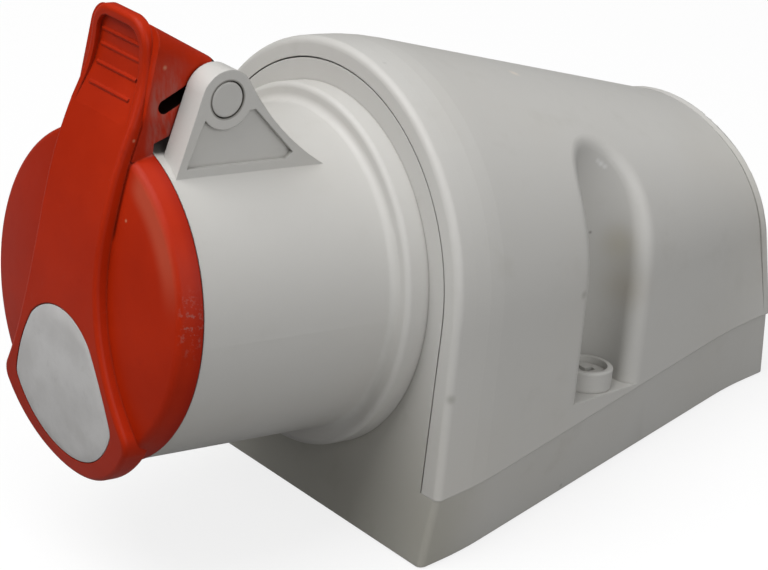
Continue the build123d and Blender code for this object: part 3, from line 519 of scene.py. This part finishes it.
bpy.ops.transform.resize(value=(plate_fit, plate_fit, plate_fit), center_override=plate_middle)
bpy.ops.transform.translate(value=outward * plate_glue)
bpy.ops.object.mode_set(mode="OBJECT")
sheet = plate.modifiers.new("sheet", "SOLIDIFY")
sheet.thickness = plate_thickness
sheet.offset = 1.0
broken = plate.modifiers.new("broken_edge", "BEVEL")
broken.width = plate_edge
broken.segments = 2
broken.limit_method = "ANGLE"
broken.angle_limit = radians(50.0)
bpy.ops.object.modifier_apply(modifier="sheet")
bpy.ops.object.modifier_apply(modifier="broken_edge")
bpy.ops.object.shade_smooth_by_angle(angle=radians(30.0))

aluminium = Finish("dulled_aluminium")
haze = aluminium.noise(scale=58.0, detail=5.0, rough=0.62)
fine_haze = aluminium.noise(scale=330.0, detail=4.0, rough=0.6)
aluminium_colour = aluminium.mix(aluminium.ramp(haze, 0.35, 0.70), haze_dark, haze_light)
aluminium_colour = aluminium.mix(aluminium.ramp(fine_haze, 0.58, 0.80) * 0.30, aluminium_colour, haze_spots)
aluminium.paint(
    Base_Color=aluminium_colour,
    Metallic=0.15,
    Roughness=0.46 + haze * 0.22,
    Normal=aluminium.grain(fine_haze * 0.00002, strength=0.5, edge_width=0.0002),
)
plate.data.materials.clear()
plate.data.materials.append(aluminium.material)
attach(plate, "lid")


# Seals and grommet. The lid's seal, the flat flange seal and the grommet that
# grips the cable are moulded in black rubber and lie in their seats unglued.
# They are matt, with a greyish bloom and dust in the grain.
rubber_black = (0.014, 0.014, 0.015)
rubber_bloom = (0.050, 0.048, 0.046)

rubber = Finish("black_rubber")
bloom = rubber.noise(scale=120.0, detail=5.0, rough=0.6)
rubber_pores = rubber.noise(scale=1800.0, detail=3.0, rough=0.7) * 0.00004
rubber.paint(
    Base_Color=rubber.mix(rubber.ramp(bloom, 0.40, 0.75), rubber_black, rubber_bloom),
    Roughness=0.62 + bloom * 0.25,
    Specular_IOR_Level=0.35,
    Normal=rubber.grain(rubber_pores, strength=0.7, edge_width=0.0004),
)
for name in ("lid_gasket", "flange_gasket", "cable_grommet"):
    dress(name, rubber)


# Pin, spring and small screws. They are steel under a thin zinc plating, the
# pin pushed through both ears, the spring wound round it. The plating is
# bluish, lightly brushed, and dulled where it has been handled.
zinc_bright = (0.60, 0.61, 0.63)
zinc_dull = (0.38, 0.37, 0.36)

steel = Finish("zinc_steel")
brushing = steel.noise(scale=1.0, detail=3.0, rough=0.6, stretch=(180.0, 2400.0, 2400.0))
dulling = steel.noise(scale=140.0, detail=4.0, rough=0.6)
steel.paint(
    Base_Color=steel.mix(steel.ramp(dulling, 0.45, 0.75), zinc_bright, zinc_dull),
    Metallic=1.0,
    Roughness=0.26 + brushing * 0.16 + dulling * 0.14,
    Normal=steel.grain(brushing * 0.00002, strength=0.5, edge_width=0.0002),
)
for name in ("hinge_pin", "lid_spring", "flange_screws", "carrier_screws", "terminal_screws"):
    dress(name, steel)


# Contacts and inserts. The five contact sleeves and the two threaded inserts
# are turned from brass, with fine tool rings, and a brown tarnish has begun.
# The sleeves stand in the carrier, the inserts are pressed into the pillars.
brass_bright = (0.70, 0.50, 0.20)
brass_brown = (0.34, 0.20, 0.075)

brass = Finish("turned_brass")
tarnish = brass.noise(scale=170.0, detail=5.0, rough=0.6)
ring_pattern = {"wave_type": "BANDS", "bands_direction": "Y"}
ring_sockets = {"Vector": brass.place, "Scale": 900.0, "Distortion": 0.4}
tool_rings = brass.node("ShaderNodeTexWave", ring_pattern, ring_sockets, "Fac")
brass.paint(
    Base_Color=brass.mix(brass.ramp(tarnish, 0.42, 0.78), brass_bright, brass_brown),
    Metallic=1.0,
    Roughness=0.24 + tarnish * 0.26,
    Normal=brass.grain(tool_rings * 0.00001, strength=0.5, edge_width=0.0002),
)
for name in ("contact_earth", "contact_line_1", "contact_line_2", "contact_line_3", "contact_neutral"):
    dress(name, brass)
dress("screw_inserts", brass)


# Contact carrier. Both halves are moulded in black glass-filled plastic and
# screwed together inside the collar. The skin is dry and slightly speckled,
# with the pattern of the fibres in it.
carrier_black = (0.020, 0.020, 0.022)
carrier_fibre = (0.052, 0.051, 0.050)

carrier = Finish("carrier_plastic")
fibres = carrier.noise(scale=1.0, detail=3.0, rough=0.7, stretch=(900.0, 260.0, 900.0))
carrier.paint(
    Base_Color=carrier.mix(carrier.ramp(fibres, 0.45, 0.75), carrier_black, carrier_fibre),
    Roughness=0.50 + fibres * 0.20,
    Specular_IOR_Level=0.4,
    Normal=carrier.grain(fibres * 0.00003, strength=0.6, edge_width=0.0004),
)
for name in ("contact_carrier", "carrier_back"):
    dress(name, carrier)
